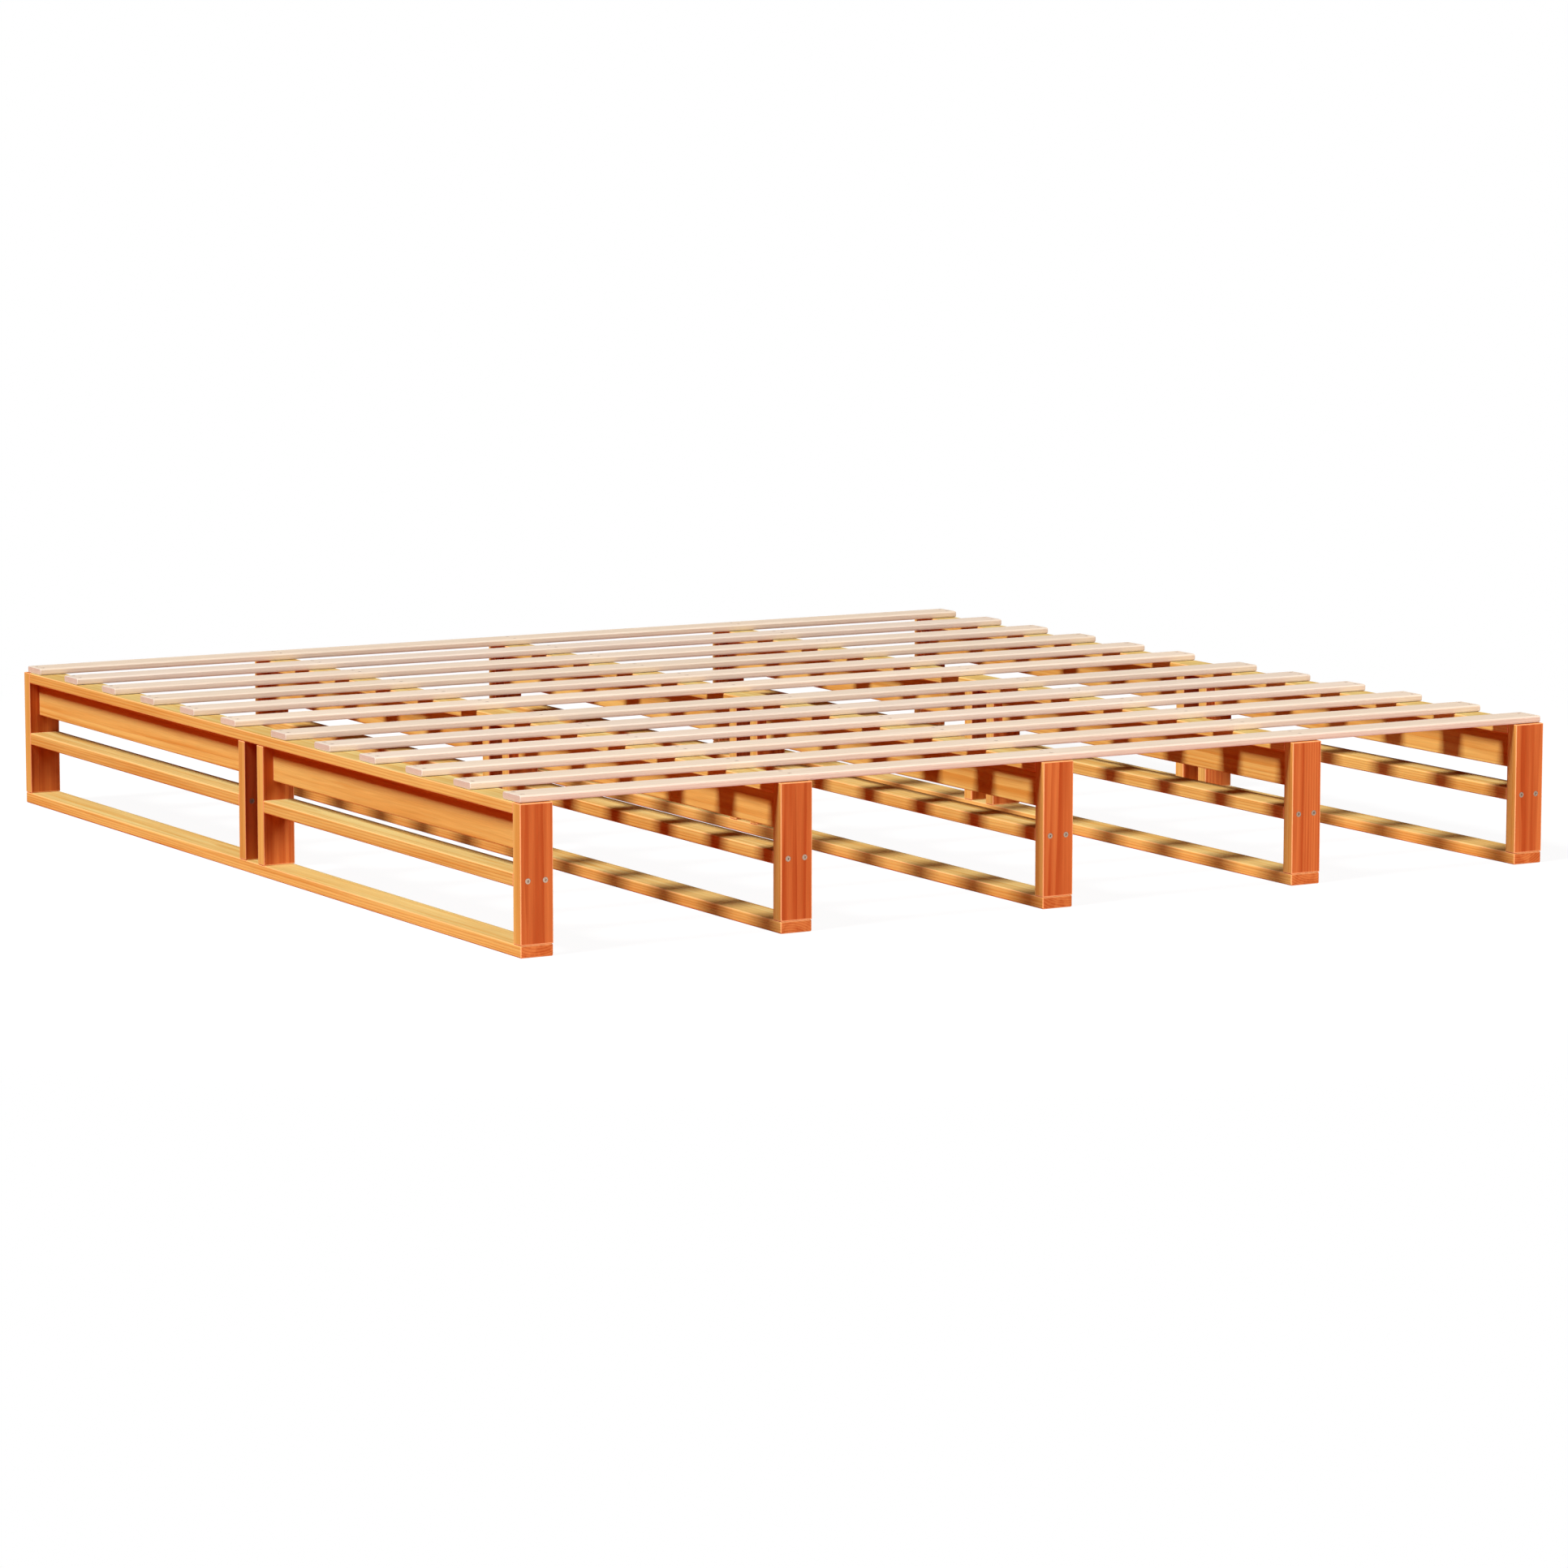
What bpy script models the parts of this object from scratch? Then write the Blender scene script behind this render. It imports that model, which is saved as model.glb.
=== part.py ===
"""A low, square bed base of pine boards: five open ladder frames under twelve slats.

X runs along the slats, Y from the front of the bed to its back, and Z up.  The origin is
on the floor under the middle of the bed.  All lengths are in metres.
"""

import math
from collections import namedtuple

import bmesh
import bpy
from mathutils import Matrix, Vector

# The whole bed
BED_WIDTH = 2.000
BED_LENGTH = 2.000
FRAME_HEIGHT = 0.245

# The frames, which run from front to back
FRAME_COUNT = 5
BOARD_WIDTH = 0.058
BOTTOM_RAIL_THICKNESS = 0.020
SHELF_RAIL_THICKNESS = 0.022
TOP_RAIL_THICKNESS = 0.019
POST_THICKNESS = 0.025
MID_POST_GAP = 0.050
SPINE_THICKNESS = 0.020
SPINE_DEPTH = 0.061
SHELF_SLOT_HEIGHT = 0.032
BOARD_EDGE_RADIUS = 0.0025

# The slats, which run across the frames in two equal groups
SLATS_IN_GROUP = 6
SLAT_WIDTH = 0.060
SLAT_THICKNESS = 0.012
SLAT_LEFT_INSET = 0.004
SLAT_RIGHT_INSET = 0.001
SLAT_FRONT_INSET = 0.007
SLAT_BACK_INSET = 0.009
SLAT_GROUP_GAP = 0.145
SLAT_EDGE_RADIUS = 0.0055
SLAT_EDGE_SEGMENTS = 3
ROUND_PROFILE_SHARE = 0.5

# Where the screws go in
SLAT_SCREW_SPACING = 0.030
SLAT_SCREW_END_DISTANCE = 0.012
POST_SCREW_SPACING = 0.031

# The countersunk holes of the slat screws
SLAT_HOLE_MOUTH_RADIUS = 0.0041
SLAT_HOLE_CONE_DEPTH = 0.0026
SLAT_HOLE_RADIUS = 0.0020
SLAT_HOLE_DEPTH = 0.025

# The countersunk holes of the frame screws
FRAME_HOLE_MOUTH_RADIUS = 0.0050
FRAME_HOLE_CONE_DEPTH = 0.0032
FRAME_HOLE_RADIUS = 0.0025
FRAME_HOLE_DEPTH = 0.065

HOLE_SIDES = 6

# What touching pieces keep between them, and how far a hole's cutter stands out of the wood
JOINT_GAP = 0.0003
CUTTER_OVERRUN = 0.002

# The finishes: base colour, roughness and metallic value
STAINED_PINE = ((0.67, 0.26, 0.08, 1.0), 0.50, 0.0)
BARE_PINE = ((0.85, 0.75, 0.60, 1.0), 0.60, 0.0)

# Places that several pieces share
LEFT = -BED_WIDTH / 2
RIGHT = BED_WIDTH / 2
FRONT = -BED_LENGTH / 2
BACK = BED_LENGTH / 2
POST_FOOT = BOTTOM_RAIL_THICKNESS + JOINT_GAP
TOP_RAIL_UNDERSIDE = FRAME_HEIGHT - TOP_RAIL_THICKNESS
SPINE_UNDERSIDE = TOP_RAIL_UNDERSIDE - SPINE_DEPTH
SHELF_RAIL_TOP = SPINE_UNDERSIDE - SHELF_SLOT_HEIGHT
SHELF_RAIL_UNDERSIDE = SHELF_RAIL_TOP - SHELF_RAIL_THICKNESS
SLAT_UNDERSIDE = FRAME_HEIGHT + JOINT_GAP
SLAT_TOP = SLAT_UNDERSIDE + SLAT_THICKNESS
SLAT_LEFT_END = LEFT + SLAT_LEFT_INSET
SLAT_RIGHT_END = RIGHT - SLAT_RIGHT_INSET

ALONG_SLATS = Vector((1, 0, 0))
BACKWARD = Vector((0, 1, 0))
FORWARD = -BACKWARD
UP = Vector((0, 0, 1))
DOWN = -UP

# A half of a frame: the faces of its end post and of its mid post, and the way from the first to the second
Bay = namedtuple("Bay", "name outer outer_inside mid_inside mid_outside inward")
Board = namedtuple("Board", "piece low high")
HoleSize = namedtuple("HoleSize", "mouth_radius cone_depth radius depth")
Hole = namedtuple("Hole", "size mouth inward")

SLAT_HOLE = HoleSize(SLAT_HOLE_MOUTH_RADIUS, SLAT_HOLE_CONE_DEPTH, SLAT_HOLE_RADIUS, SLAT_HOLE_DEPTH)
FRAME_HOLE = HoleSize(FRAME_HOLE_MOUTH_RADIUS, FRAME_HOLE_CONE_DEPTH, FRAME_HOLE_RADIUS, FRAME_HOLE_DEPTH)


def clear_scene():
    """Start from an empty scene."""
    for piece in list(bpy.data.objects):
        bpy.data.objects.remove(piece, do_unlink=True)


def add_finish(piece, finish):
    """Give a piece a material of its own."""
    colour, roughness, metallic = finish
    material = bpy.data.materials.new(piece.name)
    material.use_nodes = True
    shader = material.node_tree.nodes["Principled BSDF"]
    shader.inputs["Base Color"].default_value = colour
    shader.inputs["Roughness"].default_value = roughness
    shader.inputs["Metallic"].default_value = metallic
    material.diffuse_color = colour
    piece.data.materials.append(material)


def add_piece(name, shape, place):
    """Turn a finished shape into a named object that stands at a place."""
    mesh = bpy.data.meshes.new(name)
    shape.to_mesh(mesh)
    shape.free()
    piece = bpy.data.objects.new(name, mesh)
    piece.location = place
    bpy.context.collection.objects.link(piece)
    return piece


def combine(piece, other, operation):
    """Join another solid to a piece or cut it away, and remove the other."""
    other.hide_render = True
    other.display_type = "WIRE"
    boolean = piece.modifiers.new(operation.lower(), "BOOLEAN")
    boolean.operation = operation
    boolean.solver = "EXACT"
    boolean.object = other
    bpy.context.view_layer.update()
    graph = bpy.context.evaluated_depsgraph_get()
    result = bpy.data.meshes.new_from_object(piece.evaluated_get(graph))
    plain, piece.data = piece.data, result
    piece.modifiers.clear()
    bpy.data.meshes.remove(plain)
    bpy.data.objects.remove(other)
    result.name = piece.name


def block_shape(size):
    """A sharp-edged block about its own middle."""
    shape = bmesh.new()
    bmesh.ops.create_cube(shape, size=1)
    bmesh.ops.scale(shape, vec=size, verts=shape.verts)
    return shape


def edges_along(shape, direction):
    """The edges of a block that run in one direction."""
    return [edge for edge in shape.edges
            if abs((edge.verts[1].co - edge.verts[0].co).dot(direction)) > edge.calc_length() / 2]


def add_board(name, low, high):
    """A planed board of a frame, with all its edges eased."""
    low = Vector(low)
    high = Vector(high)
    shape = block_shape(high - low)
    bmesh.ops.bevel(shape, geom=shape.edges[:], offset=BOARD_EDGE_RADIUS, segments=1, affect="EDGES")
    piece = add_piece(name, shape, (low + high) / 2)
    add_finish(piece, STAINED_PINE)
    return Board(piece, low, high)


def add_slat(name, low, high):
    """A slat, with its long edges rounded."""
    low = Vector(low)
    high = Vector(high)
    shape = block_shape(high - low)
    bmesh.ops.bevel(shape, geom=edges_along(shape, ALONG_SLATS), offset=SLAT_EDGE_RADIUS,
                    segments=SLAT_EDGE_SEGMENTS, profile=ROUND_PROFILE_SHARE, affect="EDGES")
    piece = add_piece(name, shape, (low + high) / 2)
    add_finish(piece, BARE_PINE)
    return Board(piece, low, high)


def in_order(first, second):
    """Two places, the lower one first."""
    return min(first, second), max(first, second)


def between(first, second):
    """The space between two faces, in rising order, less a gap at each."""
    near, far = in_order(first, second)
    return near + JOINT_GAP, far - JOINT_GAP


def frame_bays():
    """The front and the back half that every frame has."""
    bays = []
    for name, outer, inward in (("front", FRONT, BACKWARD), ("back", BACK, FORWARD)):
        mid_outside = -inward.y * MID_POST_GAP / 2
        bays.append(Bay(name, outer, outer + inward.y * POST_THICKNESS,
                        mid_outside - inward.y * POST_THICKNESS, mid_outside, inward))
    return bays


def frame_lefts():
    """The left side of every frame: the outer two flush with the bed, the rest spread evenly."""
    lefts = [LEFT]
    for number in range(1, FRAME_COUNT - 1):
        lefts.append(LEFT + BED_WIDTH * number / (FRAME_COUNT - 1) - BOARD_WIDTH / 2)
    lefts.append(RIGHT - BOARD_WIDTH)
    return lefts


def add_top_rail(name, left, bays):
    """The top rail with the two spine boards that are glued on edge under it, one in each bay."""
    near, far = between(bays[0].outer_inside, bays[1].outer_inside)
    rail = add_board(name, (left, near, TOP_RAIL_UNDERSIDE), (left + BOARD_WIDTH, far, FRAME_HEIGHT))
    spine_left = left + (BOARD_WIDTH - SPINE_THICKNESS) / 2
    for bay in bays:
        near, far = between(bay.outer_inside, bay.mid_inside)
        spine = add_board(name + "_spine", (spine_left, near, SPINE_UNDERSIDE),
                          (spine_left + SPINE_THICKNESS, far, TOP_RAIL_UNDERSIDE + TOP_RAIL_THICKNESS / 2))
        combine(rail.piece, spine.piece, "UNION")
    return Board(rail.piece, Vector((rail.low.x, rail.low.y, SPINE_UNDERSIDE)), rail.high)


def add_frame(number, left, bays):
    """All the boards of one ladder frame."""
    right = left + BOARD_WIDTH
    prefix = "frame_" + str(number) + "_"
    boards = [
        add_board(prefix + "bottom_rail", (left, FRONT, 0), (right, BACK, BOTTOM_RAIL_THICKNESS)),
        add_top_rail(prefix + "top_rail", left, bays),
    ]
    for bay in bays:
        name = prefix + bay.name
        near, far = in_order(bay.outer, bay.outer_inside)
        boards.append(add_board(name + "_post", (left, near, POST_FOOT), (right, far, FRAME_HEIGHT)))
        near, far = in_order(bay.mid_inside, bay.mid_outside)
        boards.append(add_board(name + "_mid_post", (left, near, POST_FOOT),
                                (right, far, TOP_RAIL_UNDERSIDE - JOINT_GAP)))
        near, far = between(bay.outer_inside, bay.mid_inside)
        boards.append(add_board(name + "_shelf_rail", (left, near, SHELF_RAIL_UNDERSIDE),
                                (right, far, SHELF_RAIL_TOP)))
    return boards


def slat_fronts():
    """The front edge of every slat, counted from the back of the bed to its front."""
    group_length = (BED_LENGTH - SLAT_FRONT_INSET - SLAT_BACK_INSET - SLAT_GROUP_GAP) / 2
    pitch = (group_length - SLAT_WIDTH) / (SLATS_IN_GROUP - 1)
    rearmost = BACK - SLAT_BACK_INSET - SLAT_WIDTH
    foremost = FRONT + SLAT_FRONT_INSET
    back_group = [rearmost - pitch * number for number in range(SLATS_IN_GROUP)]
    front_group = [foremost + pitch * number for number in range(SLATS_IN_GROUP)]
    return back_group + front_group[::-1]


def add_slats():
    """The slats, which stop a little short of the bed's four sides."""
    return [add_slat("slat_{:02d}".format(number), (SLAT_LEFT_END, front, SLAT_UNDERSIDE),
                     (SLAT_RIGHT_END, front + SLAT_WIDTH, SLAT_TOP))
            for number, front in enumerate(slat_fronts(), start=1)]


def slat_holes(lefts):
    """Two holes down through a slat wherever it crosses a frame, the outermost close to its ends."""
    places = [left + BOARD_WIDTH / 2 for left in lefts]
    places[0] = SLAT_LEFT_END + SLAT_SCREW_END_DISTANCE
    places[-1] = SLAT_RIGHT_END - SLAT_SCREW_END_DISTANCE
    holes = []
    for front in slat_fronts():
        for x in places:
            for side in (-1, 1):
                y = front + SLAT_WIDTH / 2 + side * SLAT_SCREW_SPACING / 2
                holes.append(Hole(SLAT_HOLE, Vector((x, y, SLAT_TOP)), DOWN))
    return holes


def shelf_holes(lefts, bays):
    """Two holes through every post into the end of a shelf rail."""
    z = (SHELF_RAIL_UNDERSIDE + SHELF_RAIL_TOP) / 2
    holes = []
    for left in lefts:
        for side in (-1, 1):
            x = left + BOARD_WIDTH / 2 + side * POST_SCREW_SPACING / 2
            for bay in bays:
                holes.append(Hole(FRAME_HOLE, Vector((x, bay.outer, z)), bay.inward))
                holes.append(Hole(FRAME_HOLE, Vector((x, bay.mid_outside, z)), -bay.inward))
    return holes


def foot_holes(lefts, bays):
    """One hole from below through the bottom rail into the foot of every post."""
    holes = []
    for left in lefts:
        x = left + BOARD_WIDTH / 2
        for bay in bays:
            for y in ((bay.outer + bay.outer_inside) / 2, (bay.mid_inside + bay.mid_outside) / 2):
                holes.append(Hole(FRAME_HOLE, Vector((x, y, 0)), UP))
    return holes


def hole_profile(size):
    """Half the outline of a hole's cutter as (radius, depth) pairs, its cone running on out of the wood."""
    flare = (size.mouth_radius - size.radius) / size.cone_depth
    return [
        (size.mouth_radius + flare * CUTTER_OVERRUN, -CUTTER_OVERRUN),
        (size.radius, size.cone_depth),
        (size.radius, size.depth),
    ]


def cutter_mesh(size):
    """A hole's cutter turned about Z, with its mouth at the origin and its depth along -Z."""
    shape = bmesh.new()
    outline = [shape.verts.new((radius, 0, -depth)) for radius, depth in hole_profile(size)]
    sides = [shape.edges.new(pair) for pair in zip(outline, outline[1:])]
    bmesh.ops.spin(shape, geom=outline + sides, axis=UP, angle=math.tau, steps=HOLE_SIDES, use_merge=True)
    bmesh.ops.holes_fill(shape, edges=shape.edges)
    bmesh.ops.recalc_face_normals(shape, faces=shape.faces)
    mesh = bpy.data.meshes.new("cutter")
    shape.to_mesh(mesh)
    shape.free()
    return mesh


def cutters_shape(holes, meshes):
    """One shape that holds a cutter at the place of every hole."""
    group = bmesh.new()
    for hole in holes:
        turn = DOWN.rotation_difference(hole.inward).to_matrix().to_4x4()
        single = meshes[hole.size].copy()
        single.transform(Matrix.Translation(hole.mouth) @ turn)
        group.from_mesh(single)
        bpy.data.meshes.remove(single)
    return group


def meets(hole, board):
    """Whether a hole comes into the box of a board."""
    bottom = hole.mouth + hole.inward * hole.size.depth
    for axis in range(3):
        near, far = in_order(hole.mouth[axis], bottom[axis])
        reach = hole.size.mouth_radius
        if far + reach < board.low[axis] or near - reach > board.high[axis]:
            return False
    return True


def drill(boards, holes):
    """Cut every hole out of all the boards that it passes through."""
    meshes = {size: cutter_mesh(size) for size in (SLAT_HOLE, FRAME_HOLE)}
    for board in boards:
        own_holes = [hole for hole in holes if meets(hole, board)]
        combine(board.piece, add_piece("cutter", cutters_shape(own_holes, meshes), (0, 0, 0)), "DIFFERENCE")


def main():
    """Build the bed."""
    clear_scene()
    lefts = frame_lefts()
    bays = frame_bays()
    boards = add_slats()
    for number, left in enumerate(lefts, start=1):
        boards += add_frame(number, left, bays)
    drill(boards, slat_holes(lefts) + shelf_holes(lefts, bays) + foot_holes(lefts, bays))


main()
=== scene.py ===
"""The looks of a low, square bed base of pine boards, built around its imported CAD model.

X runs along the slats, Y from the front of the bed to its back, and Z up.  All lengths are in
metres unless a comment says otherwise.
"""

import math
import random
from collections import namedtuple

import bmesh
import bpy
from mathutils import Matrix, Vector


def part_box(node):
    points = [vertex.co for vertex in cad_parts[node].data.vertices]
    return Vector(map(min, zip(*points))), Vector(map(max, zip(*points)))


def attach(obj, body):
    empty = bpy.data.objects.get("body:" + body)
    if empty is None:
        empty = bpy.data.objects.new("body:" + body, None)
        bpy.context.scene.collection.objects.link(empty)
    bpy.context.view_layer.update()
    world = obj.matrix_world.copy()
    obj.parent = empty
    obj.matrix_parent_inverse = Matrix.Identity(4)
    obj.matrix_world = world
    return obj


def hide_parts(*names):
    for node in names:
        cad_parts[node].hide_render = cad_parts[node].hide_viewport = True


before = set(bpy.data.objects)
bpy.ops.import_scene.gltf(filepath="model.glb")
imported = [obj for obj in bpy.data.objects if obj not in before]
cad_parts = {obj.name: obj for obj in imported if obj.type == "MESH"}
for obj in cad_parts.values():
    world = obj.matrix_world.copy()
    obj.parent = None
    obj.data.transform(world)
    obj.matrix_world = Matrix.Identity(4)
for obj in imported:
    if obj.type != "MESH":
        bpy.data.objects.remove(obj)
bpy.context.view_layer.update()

SEED = 11
FRAME_COUNT = len([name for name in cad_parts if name.endswith("_bottom_rail")])
FRAME_NUMBERS = range(1, FRAME_COUNT + 1)

# The three axes of the bed by their numbers, and some directions in it
X, Y, Z = range(3)
BACKWARD = Vector((0, 1, 0))
UP = Vector((0, 0, 1))
DOWN = -UP

# A board's three directions, as axes of the bed: along its grain, across it and through it
Lie = namedtuple("Lie", "along across through")
FLAT_ALONG_Y = Lie(Y, X, Z)
ON_EDGE_ALONG_Y = Lie(Y, Z, X)
UPRIGHT = Lie(Z, X, Y)
FLAT_ALONG_X = Lie(X, Y, Z)

# The spine boards, which the CAD model joins to its top rails
SPINE_THICKNESS = 0.020
SPINE_END_GAP = 0.0003

# How far a board's edges are rounded, and in how many steps
Ease = namedtuple("Ease", "radius steps")
BOARD_EASE = Ease(0.0025, 4)
POST_EASE = Ease(0.0010, 4)
TIGHT_EASE = Ease(0.0005, 1)
SLAT_EASE = Ease(0.0038, 6)
SLAT_END_EASE = Ease(0.0012, 2)
ROUND_PROFILE_SHARE = 0.5
ON_FACE = 0.000001
SHARP_ANGLE = math.radians(34)

# Where the screws sit: the size of their heads, the middle of their mouths and the way they point
Screw = namedtuple("Screw", "size mouth inward")
SLAT_SCREW_SPACING = 0.030
SLAT_SCREW_END_DISTANCE = 0.012
POST_SCREW_SPACING = 0.031

# The screws themselves: countersunk heads with a cross recess
HeadSize = namedtuple("HeadSize", "radius depth")
SLAT_HEAD = HeadSize(0.0039, 0.0024)
FRAME_HEAD = HeadSize(0.0048, 0.0030)
HEAD_SINK = 0.0002
RIM_SINK = 0.0004
HEAD_CLEARANCE = 0.0002
HEAD_SIDES = 24
RECESS_REACH_SHARE = 0.62
RECESS_WIDTH_SHARE = 0.30
RECESS_DEPTH_SHARE = 0.60
RECESS_TAPER_SHARE = 0.45
SHANK_RADIUS_SHARE = 0.45
SHANK_DEPTH_SHARE = 1.9

# How the boards were sawn out of the log
PITH_NEAR = 0.030
PITH_FAR = 0.085
PITH_ASIDE = 0.022
LOG_LENGTH = 40.0

# How the boards' tones differ at random, and the painted light and shade of their broad faces: red for
# painted shade with one, golden for painted light with minus one
TONE_DARK = 0.95
TONE_LIGHT = 1.04
FRAME_REDNESS = 0.12
SLAT_REDNESS = 0.75
PAINTED_FACE_LIGHT = {UPRIGHT: 1.0, FLAT_ALONG_Y: -1.0}

# The waves of the wood's patterns in each metre along the grain, across it and through it.
# A reach says how far the waves carry a ring or an edge.  That of the years counts in rings.
SLOW_WAVES = (0.9, 7.0, 7.0)
SLOW_REACH = 0.012
WANDER_WAVES = (5.0, 45.0, 45.0)
WANDER_REACH = 0.0013
YEAR_WAVES = (70.0, 1.0, 1.0)
YEAR_REACH = 1.6
STREAK_WAVES = (1.7, 68.0, 68.0)
FIBRE_WAVES = (16.0, 850.0, 850.0)
FIBRE_DETAIL = 3.0
EDGE_WAVES = (25.0, 160.0, 160.0)
EDGE_REACH = 0.0008

# Where each pattern starts and ends, in shares of a year or of a wave's height
LATE_RISE_SHARES = (0.25, 0.88)
LATE_FALL_SHARES = (0.92, 1.0)
STREAK_SHARES = (0.36, 0.66)
FIBRE_SHARES = (0.30, 0.70)

# How deep the lighter edges reach, which are wear and a painted highlight, and how deep the colour of a
# face reaches, with its painted light or shade
WEAR_AND_HIGHLIGHT_DEPTHS = (0.0010, 0.0026)
SKIN_DEPTHS = (0.0004, 0.0012)

# How the fibres and the rings change the wood's roughness and relief
ROUGHNESS_SPREAD = 0.14
ROUGHNESS_LATE_DROP = 0.06
FIBRE_RELIEF_SHARE = 0.7

# A kind of wood: the colours of its early and late wood on plain faces, on red faces (a redder colour at
# random, end stain and painted shade), on golden faces (painted light) and at edges (wear and a painted
# highlight), the width of a ring, the strength of each pattern, and the surface
WoodLook = namedtuple("WoodLook", "early late red_early red_late gold_early gold_late worn ring late_share "
                                  "streak_share fibre_share wear_share end_share roughness specular relief")
STAINED = WoodLook(
    early=(0.84, 0.55, 0.155, 1.0), late=(0.67, 0.28, 0.044, 1.0),
    red_early=(0.645, 0.196, 0.051, 1.0), red_late=(0.42, 0.069, 0.014, 1.0),
    gold_early=(0.69, 0.55, 0.220, 1.0), gold_late=(0.60, 0.34, 0.080, 1.0),
    worn=(0.97, 0.49, 0.210, 1.0), ring=0.0042, late_share=0.42, streak_share=0.50, fibre_share=0.06,
    wear_share=0.85, end_share=0.92, roughness=0.52, specular=0.0, relief=0.00012)
BARE = WoodLook(
    early=(0.73, 0.62, 0.51, 1.0), late=(0.65, 0.50, 0.38, 1.0),
    red_early=(0.72, 0.60, 0.46, 1.0), red_late=(0.62, 0.48, 0.34, 1.0),
    gold_early=(0.73, 0.62, 0.50, 1.0), gold_late=(0.65, 0.50, 0.37, 1.0),
    worn=(0.77, 0.76, 0.68, 1.0), ring=0.0036, late_share=0.32, streak_share=0.22, fibre_share=0.05,
    wear_share=0.50, end_share=0.12, roughness=0.60, specular=0.02, relief=0.00008)

# The screws' steel and its scuffs
STEEL_PALE = (0.42, 0.29, 0.22, 1.0)
STEEL_DARK = (0.24, 0.16, 0.11, 1.0)
STEEL_ROUGHNESS = (0.30, 0.48)
SCUFF_WAVES = (900.0, 900.0, 900.0)
SCUFF_DETAIL = 3.0
SCUFF_COLOUR_SHARES = (0.35, 0.70)
SCUFF_ROUGHNESS_SHARES = (0.30, 0.75)
SCUFF_RELIEF = 0.00004

# The camera: its place, where it looks in radians, and its field
CAMERA_PLACE = (-5.0580, -8.8240, 1.5081)
CAMERA_YAW = 0.525265
CAMERA_PITCH = 0.138905
CAMERA_ROLL = 0.000711
CAMERA_FOCAL_PIXELS = 7018.4
PHOTO_PIXELS = 1932
SENSOR_MILLIMETRES = 36.0

# The light: a large soft key from the left and above, a small fill from the front, and a faint
# red light from all around for the warm shade under the slats.  The lamps' powers are in watts.
KEY_DIRECTION = (-0.750, -0.060, 1.0)
KEY_DISTANCE = 60.0
KEY_WIDTH = 15.0
KEY_HEIGHT = 20.0
KEY_POWER = 47000.0
FILL_DIRECTION = (0.0, -1.0, 0.15)
FILL_DISTANCE = 12.0
FILL_SIZE = 1.4
FILL_POWER = 1020.0
WORLD_STRENGTH = 0.052
WORLD_COLOUR = (1.0, 0.23, 0.13, 1.0)
WHITE = (1.0, 1.0, 1.0, 1.0)

# The floor: what it throws back on the bed, how it is shown, and how far the shown shadow reaches
FLOOR_SIZE = 80.0
FLOOR_CELLS = 8
FLOOR_COLOUR = (0.43, 0.044, 0.016, 1.0)
FLOOR_ROUGHNESS = 0.9
FLOOR_SHOWN_COLOUR = (0.10, 0.10, 0.10, 1.0)
FLOOR_GLOW = 0.945
SHADOW_NEAR = 1.5
SHADOW_FAR = 2.6

# What every board and screw is made with: the materials by slot, the meshes by size, and the dice
Kit = namedtuple("Kit", "materials heads holes dice")


def smooth(mesh):
    """Shade a mesh smooth, apart from its sharp edges."""
    mesh.shade_smooth()
    mesh.set_sharp_from_angle(angle=SHARP_ANGLE)


def new_mesh(name, shape):
    """Turn a finished shape into a mesh."""
    mesh = bpy.data.meshes.new(name)
    shape.to_mesh(mesh)
    shape.free()
    return mesh


def new_object(name, shape):
    """Turn a finished shape into an object of the scene."""
    piece = bpy.data.objects.new(name, new_mesh(name, shape))
    bpy.context.collection.objects.link(piece)
    return piece


def cut_away(piece, other):
    """Cut another solid out of a piece, and remove the other."""
    boolean = piece.modifiers.new("cut", "BOOLEAN")
    boolean.operation = "DIFFERENCE"
    boolean.solver = "EXACT"
    boolean.object = other
    bpy.context.view_layer.update()
    graph = bpy.context.evaluated_depsgraph_get()
    result = bpy.data.meshes.new_from_object(piece.evaluated_get(graph))
    plain, piece.data = piece.data, result
    piece.modifiers.clear()
    bpy.data.meshes.remove(plain)
    bpy.data.objects.remove(other)
    result.name = piece.name


def block_shape(low, high):
    """A sharp-edged block between two corners."""
    low = Vector(low)
    high = Vector(high)
    shape = bmesh.new()
    bmesh.ops.create_cube(shape, size=1)
    bmesh.ops.scale(shape, vec=high - low, verts=shape.verts)
    bmesh.ops.translate(shape, vec=(low + high) / 2, verts=shape.verts)
    return shape


def round_edges(shape, edges, ease):
    """Round some edges of a shape."""
    bmesh.ops.bevel(shape, geom=edges, offset=ease.radius, segments=ease.steps,
                    profile=ROUND_PROFILE_SHARE, affect="EDGES")


def edges_on(shape, faces):
    """The edges that lie in any of some planes, which are pairs of an axis and a place on it."""
    return [edge for edge in shape.edges
            if any(all(abs(point.co[axis] - place) < ON_FACE for point in edge.verts)
                   for axis, place in faces)]


def ends_of(low, high, axis):
    """The planes of the two end faces of a board that runs along an axis."""
    return [(axis, low[axis]), (axis, high[axis])]


def board_shape(low, high, tight=(), ease=BOARD_EASE, tight_ease=TIGHT_EASE):
    """A planed board with its edges rounded, those round some tight faces in a way of their own."""
    shape = block_shape(low, high)
    close = edges_on(shape, tight)
    round_edges(shape, [edge for edge in shape.edges if edge not in close], ease)
    if tight:
        round_edges(shape, edges_on(shape, tight), tight_ease)
    return shape


def turned_shape(outline):
    """A closed shape turned about Z from (radius, height) pairs."""
    shape = bmesh.new()
    points = [shape.verts.new((radius, 0, height)) for radius, height in outline]
    edges = [shape.edges.new(pair) for pair in zip(points, points[1:])]
    bmesh.ops.spin(shape, geom=points + edges, axis=UP, angle=math.tau, steps=HEAD_SIDES, use_merge=True)
    bmesh.ops.holes_fill(shape, edges=shape.edges)
    bmesh.ops.recalc_face_normals(shape, faces=shape.faces)
    return shape


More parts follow.
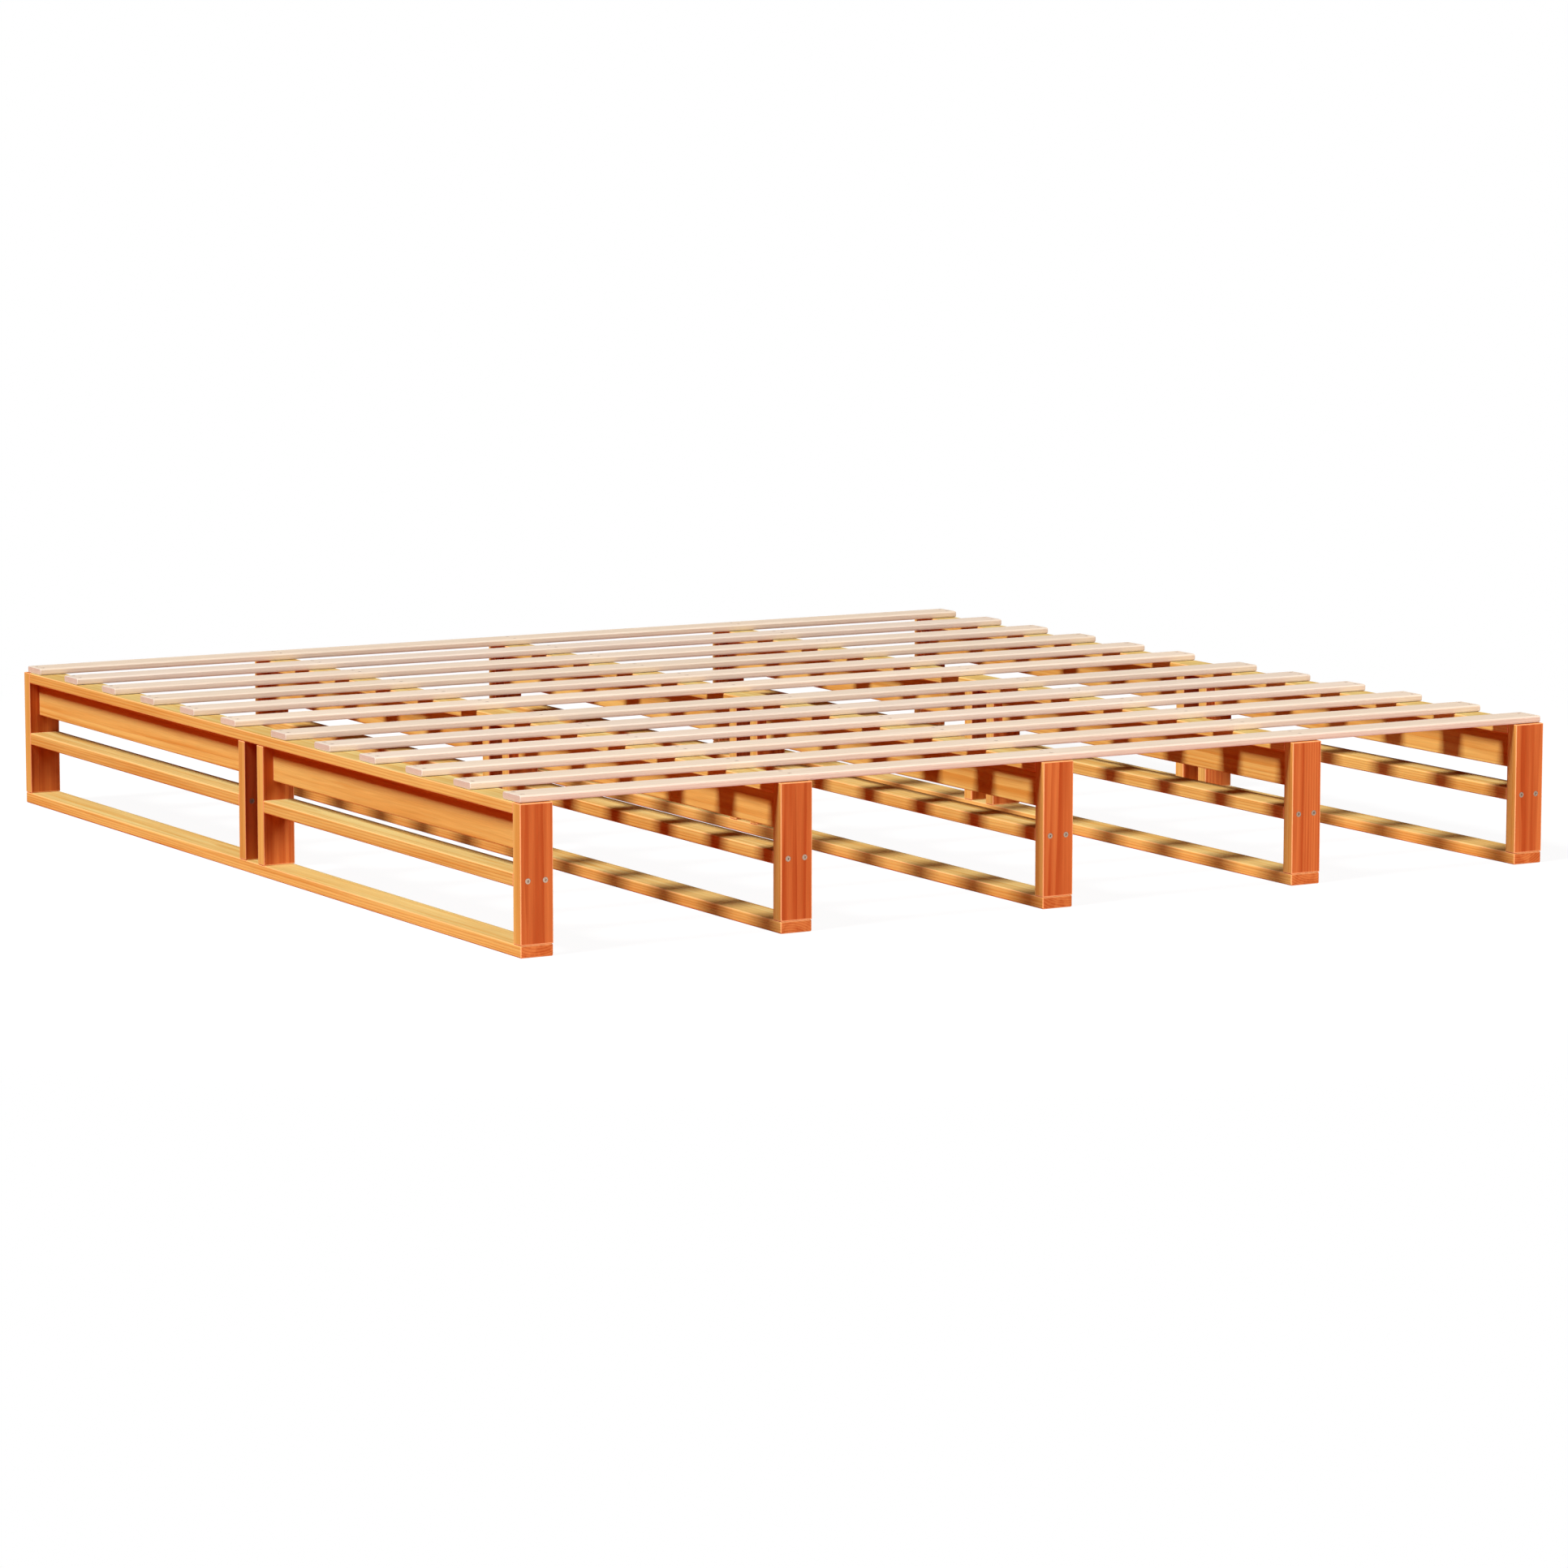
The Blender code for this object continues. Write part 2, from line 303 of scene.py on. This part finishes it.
def hole_mesh(size):
    """The countersunk hole that a screw sits in, standing a little out of the wood."""
    mouth = size.radius + HEAD_CLEARANCE
    shank = size.radius * SHANK_RADIUS_SHARE + HEAD_CLEARANCE
    bottom = size.depth * SHANK_DEPTH_SHARE + HEAD_CLEARANCE
    return new_mesh("hole", turned_shape([(mouth, size.depth), (mouth, -HEAD_SINK), (shank, -size.depth),
                                          (shank, -bottom)]))


def head_mesh(size):
    """A screw's head and the start of its shank, with a tapered cross recess."""
    shank = size.radius * SHANK_RADIUS_SHARE
    head = new_object("head", turned_shape([
        (size.radius - HEAD_SINK, -HEAD_SINK), (size.radius, -RIM_SINK), (shank, -size.depth),
        (shank, -size.depth * SHANK_DEPTH_SHARE)]))
    reach = size.radius * RECESS_REACH_SHARE
    width = size.radius * RECESS_WIDTH_SHARE
    depth = size.depth * RECESS_DEPTH_SHARE
    for long_way in (X, Y):
        half = [width / 2, width / 2, depth]
        half[long_way] = reach
        blade = block_shape([-value for value in half], half)
        for point in blade.verts:
            if point.co.z < 0:
                point.co[long_way] *= RECESS_TAPER_SHARE
        cut_away(head, new_object("blade", blade))
    mesh = head.data
    bpy.data.objects.remove(head)
    smooth(mesh)
    return mesh


def place_matrix(screw, turn):
    """Where a thing goes that is made with its mouth at the origin and its depth along -Z."""
    way = DOWN.rotation_difference(screw.inward).to_matrix().to_4x4()
    return Matrix.Translation(screw.mouth) @ way @ Matrix.Rotation(turn, 4, "Z")


def copies_shape(meshes, screws, turns):
    """One shape of a mesh's copies at some screws, the mesh chosen by each screw's size."""
    shape = bmesh.new()
    for screw, turn in zip(screws, turns):
        single = meshes[screw.size].copy()
        single.transform(place_matrix(screw, turn))
        shape.from_mesh(single)
        bpy.data.meshes.remove(single)
    return shape


def write_vector(mesh, name, values):
    """Store one vector for every vertex of a mesh."""
    layer = mesh.attributes.new(name, "FLOAT_VECTOR", "POINT")
    layer.data.foreach_set("vector", [number for value in values for number in value])


def mark_grain(mesh, low, high, lie, dice):
    """Tell the wood where each point lies in its board, the board's size and its place in the log."""
    middle = (low + high) / 2
    size = high - low
    half = [size[axis] / 2 for axis in lie]
    far_side = dice.choice((-1, 1))
    cut = (dice.uniform(0, LOG_LENGTH), dice.uniform(-PITH_ASIDE, PITH_ASIDE),
           far_side * dice.uniform(PITH_NEAR, PITH_FAR))
    redness = SLAT_REDNESS if lie == FLAT_ALONG_X else FRAME_REDNESS
    # The sign of the broad faces' painted light and shade, a random lightness and a random redness
    tone_and_face_light = (PAINTED_FACE_LIGHT.get(lie, 0.0), dice.uniform(TONE_DARK, TONE_LIGHT), dice.uniform(0, redness))
    write_vector(mesh, "place", [[(point.co - middle)[axis] for axis in lie] for point in mesh.vertices])
    for name, value in (("half", half), ("cut", cut), ("tone_and_face_light", tone_and_face_light)):
        write_vector(mesh, name, [value] * len(mesh.vertices))


def add_board(name, shape, low, high, lie, screws, slot, nodes, kit):
    """One board of the bed, with the holes of its screws."""
    board = new_object(name, shape)
    if screws:
        cut_away(board, new_object("holes", copies_shape(kit.holes, screws, [0.0] * len(screws))))
    smooth(board.data)
    mark_grain(board.data, low, high, lie, kit.dice)
    board.data.materials.clear()
    board.data.materials.append(kit.materials[slot])
    flats = board.modifiers.new("flats", "WEIGHTED_NORMAL")
    flats.keep_sharp = True
    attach(board, "root")
    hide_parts(*nodes)


def add_screws(name, screws, kit):
    """A group of equal screws, each turned its own way."""
    turns = [kit.dice.uniform(0, math.tau) for screw in screws]
    group = new_object(name, copies_shape(kit.heads, screws, turns))
    smooth(group.data)
    group.data.materials.append(kit.materials["screw_steel"])
    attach(group, "root")


def frame_middles():
    """The middle of every frame along the slats."""
    middles = []
    for number in FRAME_NUMBERS:
        low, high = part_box("frame_" + str(number) + "_bottom_rail")
        middles.append((low.x + high.x) / 2)
    return middles


def slat_screws(low, high):
    """Two screws down through a slat wherever it crosses a frame, the outermost close to its ends."""
    places = frame_middles()
    places[0] = low.x + SLAT_SCREW_END_DISTANCE
    places[-1] = high.x - SLAT_SCREW_END_DISTANCE
    middle = (low.y + high.y) / 2
    return [Screw(SLAT_HEAD, Vector((x, middle + side * SLAT_SCREW_SPACING / 2, high.z)), DOWN)
            for x in places for side in (-1, 1)]


def post_screws(low, high, inward, height):
    """Two screws side by side through a post into the end of a shelf rail."""
    middle = (low.x + high.x) / 2
    face = low.y if inward.y > 0 else high.y
    return [Screw(FRAME_HEAD, Vector((middle + side * POST_SCREW_SPACING / 2, face, height)), inward)
            for side in (-1, 1)]


def foot_screw(low, high):
    """A screw from under the bed up into the middle of a post."""
    return Screw(FRAME_HEAD, Vector(((low.x + high.x) / 2, (low.y + high.y) / 2, 0)), UP)


def add_slats(kit):
    """The slats with their screws."""
    for node in [name for name in sorted(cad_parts) if name.startswith("slat_")]:
        low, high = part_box(node)
        screws = slat_screws(low, high)
        shape = board_shape(low, high, ends_of(low, high, X), SLAT_EASE, SLAT_END_EASE)
        add_board(node + "_board", shape, low, high, FLAT_ALONG_X, screws, "bare_pine", [node], kit)
        add_screws(node + "_screws", screws, kit)


def add_top_rail(prefix, kit):
    """The top rail and the two spine boards under it, which are one solid in the CAD model."""
    node = prefix + "top_rail"
    low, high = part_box(node)
    rail_low = Vector((low.x, low.y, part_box(prefix + "front_mid_post")[1].z + SPINE_END_GAP))
    shape = board_shape(rail_low, high, ends_of(rail_low, high, Y))
    add_board(node + "_board", shape, rail_low, high, FLAT_ALONG_Y, [], "stained_pine", [node], kit)
    middle = (low.x + high.x) / 2
    for side in ("front", "back"):
        shelf_low, shelf_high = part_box(prefix + side + "_shelf_rail")
        spine_low = Vector((middle - SPINE_THICKNESS / 2, shelf_low.y, low.z))
        spine_high = Vector((middle + SPINE_THICKNESS / 2, shelf_high.y, rail_low.z))
        shape = board_shape(spine_low, spine_high, ends_of(spine_low, spine_high, Y) + [(Z, spine_high.z)])
        add_board(prefix + side + "_spine", shape, spine_low, spine_high, ON_EDGE_ALONG_Y, [],
                  "stained_pine", [node], kit)


def add_frame(number, kit):
    """The boards and screws of one ladder frame."""
    prefix = "frame_" + str(number) + "_"
    foot_screws = []
    shelf_screws = []
    for side, inward in (("front", BACKWARD), ("back", -BACKWARD)):
        node = prefix + side + "_shelf_rail"
        low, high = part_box(node)
        height = (low.z + high.z) / 2
        shape = board_shape(low, high, ends_of(low, high, Y))
        add_board(node + "_board", shape, low, high, FLAT_ALONG_Y, [], "stained_pine", [node], kit)
        for kind, way in (("_post", inward), ("_mid_post", -inward)):
            node = prefix + side + kind
            low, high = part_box(node)
            own_screws = post_screws(low, high, way, height)
            tight = [(Z, low.z)] if kind == "_post" else ends_of(low, high, Z)
            shape = board_shape(low, high, tight, POST_EASE)
            add_board(node + "_board", shape, low, high, UPRIGHT, own_screws, "stained_pine", [node], kit)
            shelf_screws += own_screws
            foot_screws.append(foot_screw(low, high))
    node = prefix + "bottom_rail"
    low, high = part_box(node)
    add_board(node + "_board", board_shape(low, high), low, high, FLAT_ALONG_Y, foot_screws,
              "stained_pine", [node], kit)
    add_top_rail(prefix, kit)
    add_screws(prefix + "post_screws", shelf_screws, kit)
    add_screws(prefix + "foot_screws", foot_screws, kit)


class Paint:
    """A material whose pattern is written as sums of values, vectors and colours."""

    def __init__(self, name):
        self.material = bpy.data.materials.new(name)
        self.material.use_nodes = True
        self.tree = self.material.node_tree
        self.shader = self.tree.nodes["Principled BSDF"]

    def new(self, kind, *values):
        """A node whose first inputs take these values or links."""
        node = self.tree.nodes.new(kind)
        for value, socket in zip(values, node.inputs):
            self.set(socket, value)
        return node

    def set(self, socket, value):
        """Link a socket to another node's output, or give it a plain value."""
        if isinstance(value, bpy.types.NodeSocket):
            self.tree.links.new(value, socket)
        else:
            socket.default_value = value

    def sum(self, operation, *values):
        """What an operation makes of numbers."""
        node = self.new("ShaderNodeMath", *values)
        node.operation = operation
        return node.outputs[0]

    def vectors(self, operation, *values):
        """What an operation makes of vectors."""
        node = self.new("ShaderNodeVectorMath", *values)
        node.operation = operation
        return node.outputs[0]

    def stored(self, name):
        """A vector that the mesh stores for every point."""
        node = self.tree.nodes.new("ShaderNodeAttribute")
        node.attribute_name = name
        return node.outputs["Vector"]

    def own_place(self):
        """The place of a point in its object."""
        return self.tree.nodes.new("ShaderNodeTexCoord").outputs["Object"]

    def parts(self, vector):
        """The three numbers of a vector."""
        return self.new("ShaderNodeSeparateXYZ", vector).outputs[:]

    def joined(self, *numbers):
        """A vector of three numbers."""
        return self.new("ShaderNodeCombineXYZ", *numbers).outputs[0]

    def noise(self, vector, frequencies, detail=2.0):
        """Soft noise about a half, with its own number of waves in each metre of each direction."""
        node = self.tree.nodes.new("ShaderNodeTexNoise")
        self.set(node.inputs["Vector"], self.vectors("MULTIPLY", vector, frequencies))
        node.inputs["Scale"].default_value = 1.0
        node.inputs["Detail"].default_value = detail
        return node.outputs["Fac"]

    def step(self, value, limits, results=(0.0, 1.0)):
        """A smooth step from one result to another between two limits of a value."""
        node = self.new("ShaderNodeMapRange", value, *limits, *results)
        node.interpolation_type = "SMOOTHSTEP"
        return node.outputs[0]

    def fall(self, value, limits):
        """A smooth fall from one to nothing between two limits of a value."""
        return self.step(value, limits, (1.0, 0.0))

    def mix(self, share, first, second, way="MIX"):
        """A mix of two colours."""
        node = self.tree.nodes.new("ShaderNodeMix")
        node.data_type = "RGBA"
        node.blend_type = way
        for name, value in (("Factor_Float", share), ("A_Color", first), ("B_Color", second)):
            socket = next(entry for entry in node.inputs if entry.identifier == name)
            self.set(socket, value)
        return next(entry for entry in node.outputs if entry.identifier == "Result_Color")

    def bump(self, height, depth):
        """A fine relief."""
        node = self.tree.nodes.new("ShaderNodeBump")
        node.inputs["Strength"].default_value = 1.0
        node.inputs["Distance"].default_value = depth
        self.set(node.inputs["Height"], height)
        self.set(self.shader.inputs["Normal"], node.outputs[0])


def late_wood(paint, log, ring):
    """How dark the rings make a point, by its distance from the log's pith."""
    across, through = paint.parts(log)[1:]
    radius = paint.sum("SQRT", paint.sum("ADD", paint.sum("MULTIPLY", across, across),
                                         paint.sum("MULTIPLY", through, through)))
    radius = paint.sum("MULTIPLY_ADD", paint.noise(log, SLOW_WAVES), SLOW_REACH, radius)
    radius = paint.sum("MULTIPLY_ADD", paint.noise(log, WANDER_WAVES), WANDER_REACH, radius)
    years = paint.noise(paint.joined(radius, 0.0, 0.0), YEAR_WAVES)
    rings = paint.sum("MULTIPLY_ADD", years, YEAR_REACH, paint.sum("DIVIDE", radius, ring))
    year = paint.sum("FRACT", rings)
    return paint.sum("MULTIPLY", paint.step(year, LATE_RISE_SHARES), paint.fall(year, LATE_FALL_SHARES))


def edge_wear_and_highlight(paint, log, depths):
    """How much lighter a point is near an edge, as wear and a painted highlight: the middle one of its
    three depths is how far it is from an edge.
    """
    lower = paint.sum("MINIMUM", depths[0], depths[1])
    upper = paint.sum("MAXIMUM", depths[0], depths[1])
    edge = paint.sum("MAXIMUM", lower, paint.sum("MINIMUM", upper, depths[2]))
    rough_edge = paint.sum("MULTIPLY_ADD", paint.noise(log, EDGE_WAVES), EDGE_REACH, edge)
    return paint.fall(rough_edge, WEAR_AND_HIGHLIGHT_DEPTHS)


def face_colours(paint, look, depths, painted_face_sign, redness):
    """The colours of the early and the late wood, which a board's ends and broad faces change, with painted
    light and shade.
    """
    # The ends turn redder: a deeper end-grain stain, and partly a painted shade of the ends that face the
    # front
    ends = paint.fall(depths[0], SKIN_DEPTHS)
    # Broad faces: redder as painted shade on the posts, golden as painted light on the flat boards
    painted_face_share = paint.sum("MULTIPLY", paint.fall(depths[2], SKIN_DEPTHS), painted_face_sign)
    painted_light_share = paint.sum("MAXIMUM", paint.sum("MULTIPLY", painted_face_share, -1.0), 0.0)
    red = paint.sum("MAXIMUM", painted_face_share, paint.sum("MULTIPLY", ends, look.end_share))
    red = paint.sum("MAXIMUM", red, redness)
    early = paint.mix(red, paint.mix(painted_light_share, look.early, look.gold_early), look.red_early)
    late = paint.mix(red, paint.mix(painted_light_share, look.late, look.gold_late), look.red_late)
    return early, late


def wood(name, look):
    """Pine with growth rings, fibres and eased edges, which follow each board's own place in its log, with
    lighter edges of wear and a painted highlight, and painted light and shade on some faces.
    """
    paint = Paint(name)
    place = paint.stored("place")
    log = paint.vectors("ADD", place, paint.stored("cut"))
    # The sign of a face's painted light and shade, a random lightness and a random redness
    painted_face_sign, lightness, redness = paint.parts(paint.stored("tone_and_face_light"))
    depths = paint.parts(paint.vectors("SUBTRACT", paint.stored("half"), paint.vectors("ABSOLUTE", place)))

    late = late_wood(paint, log, look.ring)
    streak = paint.step(paint.noise(log, STREAK_WAVES), STREAK_SHARES)
    fibre = paint.noise(log, FIBRE_WAVES, FIBRE_DETAIL)
    pale, dark = face_colours(paint, look, depths, painted_face_sign, redness)
    share = paint.sum("MULTIPLY", late, look.late_share)
    share = paint.sum("MULTIPLY_ADD", streak, look.streak_share, share)
    colour = paint.mix(share, pale, dark)
    grey = paint.step(fibre, FIBRE_SHARES, (1.0 - look.fibre_share, 1.0 + look.fibre_share))
    grey = paint.sum("MULTIPLY", grey, lightness)
    colour = paint.mix(1.0, colour, paint.joined(grey, grey, grey), "MULTIPLY")
    # Lighter edges: partly wear, partly a painted highlight
    worn = paint.sum("MULTIPLY", edge_wear_and_highlight(paint, log, depths), look.wear_share)
    paint.set(paint.shader.inputs["Base Color"], paint.mix(worn, colour, look.worn))

    dull = paint.sum("MULTIPLY_ADD", fibre, ROUGHNESS_SPREAD, look.roughness - ROUGHNESS_SPREAD / 2)
    dull = paint.sum("MULTIPLY_ADD", late, -ROUGHNESS_LATE_DROP, dull)
    paint.set(paint.shader.inputs["Roughness"], dull)
    paint.shader.inputs["Specular IOR Level"].default_value = look.specular
    paint.bump(paint.sum("MULTIPLY_ADD", fibre, FIBRE_RELIEF_SHARE, late), look.relief)
    return paint.material


def steel(name):
    """Zinc plated steel, a little scuffed."""
    paint = Paint(name)
    scuffs = paint.noise(paint.own_place(), SCUFF_WAVES, SCUFF_DETAIL)
    paint.set(paint.shader.inputs["Base Color"],
              paint.mix(paint.step(scuffs, SCUFF_COLOUR_SHARES), STEEL_PALE, STEEL_DARK))
    paint.set(paint.shader.inputs["Roughness"],
              paint.step(scuffs, SCUFF_ROUGHNESS_SHARES, STEEL_ROUGHNESS))
    paint.shader.inputs["Metallic"].default_value = 1.0
    paint.bump(scuffs, SCUFF_RELIEF)
    return paint.material


def seen_directly(tree):
    """One for the rays that show the background as it is, and none for the rays that light the bed."""
    path = tree.nodes.new("ShaderNodeLightPath")
    total = path.outputs["Is Camera Ray"]
    for name in ("Is Glossy Ray", "Is Transmission Ray"):
        node = tree.nodes.new("ShaderNodeMath")
        node.operation = "MAXIMUM"
        tree.links.new(total, node.inputs[0])
        tree.links.new(path.outputs[name], node.inputs[1])
        total = node.outputs[0]
    return total


def mixed_shaders(tree, share, first, second):
    """A mix of two shaders."""
    node = tree.nodes.new("ShaderNodeMixShader")
    for output, socket in zip((share, first, second), node.inputs):
        tree.links.new(output, socket)
    return node.outputs[0]


def floor_material():
    """A plain pale floor that shows white, with the bed's soft shadow on it near the bed."""
    paint = Paint("floor")
    tree = paint.tree
    distance = paint.new("ShaderNodeVectorMath", paint.own_place())
    distance.operation = "LENGTH"
    away = paint.step(distance.outputs["Value"], (SHADOW_NEAR, SHADOW_FAR))
    paint.shader.inputs["Base Color"].default_value = FLOOR_COLOUR
    paint.shader.inputs["Roughness"].default_value = FLOOR_ROUGHNESS
    paint.shader.inputs["Specular IOR Level"].default_value = 0.0
    glow = tree.nodes.new("ShaderNodeEmission")
    glow.inputs["Strength"].default_value = FLOOR_GLOW
    pale = tree.nodes.new("ShaderNodeBsdfDiffuse")
    pale.inputs["Color"].default_value = FLOOR_SHOWN_COLOUR
    shaded = tree.nodes.new("ShaderNodeAddShader")
    tree.links.new(pale.outputs[0], shaded.inputs[0])
    tree.links.new(glow.outputs[0], shaded.inputs[1])
    plain = tree.nodes.new("ShaderNodeEmission")
    shown = mixed_shaders(tree, away, shaded.outputs[0], plain.outputs[0])
    final = mixed_shaders(tree, seen_directly(tree), paint.shader.outputs[0], shown)
    tree.links.new(final, tree.nodes["Material Output"].inputs["Surface"])
    return paint.material


def add_floor():
    """The floor under the bed."""
    shape = bmesh.new()
    bmesh.ops.create_grid(shape, x_segments=FLOOR_CELLS, y_segments=FLOOR_CELLS, size=FLOOR_SIZE / 2)
    floor = new_object("floor", shape)
    floor.data.materials.append(floor_material())


def set_world():
    """An even, faint light from all around, which shows white where it is seen."""
    world = bpy.data.worlds.new("studio")
    bpy.context.scene.world = world
    world.use_nodes = True
    tree = world.node_tree
    faint = tree.nodes["Background"]
    faint.inputs["Color"].default_value = WORLD_COLOUR
    faint.inputs["Strength"].default_value = WORLD_STRENGTH
    white = tree.nodes.new("ShaderNodeBackground")
    white.inputs["Color"].default_value = WHITE
    final = mixed_shaders(tree, seen_directly(tree), faint.outputs[0], white.outputs[0])
    tree.links.new(final, tree.nodes["World Output"].inputs["Surface"])


def add_lamp(name, direction, distance, width, height, power):
    """A soft box that looks at the bed from one direction."""
    lamp = bpy.data.lights.new(name, "AREA")
    lamp.shape = "RECTANGLE"
    lamp.size = width
    lamp.size_y = height
    lamp.energy = power
    way = Vector(direction).normalized()
    box = bpy.data.objects.new(name, lamp)
    box.location = way * distance
    box.rotation_euler = way.to_track_quat("Z", "Y").to_euler()
    bpy.context.collection.objects.link(box)


def add_camera():
    """The camera at the photograph's place."""
    forward = Vector((math.sin(CAMERA_YAW) * math.cos(CAMERA_PITCH),
                      math.cos(CAMERA_YAW) * math.cos(CAMERA_PITCH), -math.sin(CAMERA_PITCH)))
    level = Vector((math.cos(CAMERA_YAW), -math.sin(CAMERA_YAW), 0))
    upright = level.cross(forward)
    right = level * math.cos(CAMERA_ROLL) + upright * math.sin(CAMERA_ROLL)
    up = upright * math.cos(CAMERA_ROLL) - level * math.sin(CAMERA_ROLL)
    data = bpy.data.cameras.new("camera")
    data.sensor_width = SENSOR_MILLIMETRES
    data.lens = CAMERA_FOCAL_PIXELS / PHOTO_PIXELS * SENSOR_MILLIMETRES
    camera = bpy.data.objects.new("camera", data)
    turn = Matrix((right, up, -forward)).transposed().to_4x4()
    camera.matrix_world = Matrix.Translation(CAMERA_PLACE) @ turn
    bpy.context.collection.objects.link(camera)
    bpy.context.scene.camera = camera


def main():
    """Dress the bed and set the stage."""
    sizes = (SLAT_HEAD, FRAME_HEAD)
    kit = Kit(materials={"stained_pine": wood("stained_pine", STAINED),
                         "bare_pine": wood("bare_pine", BARE),
                         "screw_steel": steel("screw_steel")},
              heads={size: head_mesh(size) for size in sizes},
              holes={size: hole_mesh(size) for size in sizes},
              dice=random.Random(SEED))
    add_slats(kit)
    for number in FRAME_NUMBERS:
        add_frame(number, kit)
    add_floor()
    set_world()
    add_lamp("key", KEY_DIRECTION, KEY_DISTANCE, KEY_WIDTH, KEY_HEIGHT, KEY_POWER)
    add_lamp("fill", FILL_DIRECTION, FILL_DISTANCE, FILL_SIZE, FILL_SIZE, FILL_POWER)
    add_camera()
    bpy.context.scene.view_settings.view_transform = "Standard"


main()
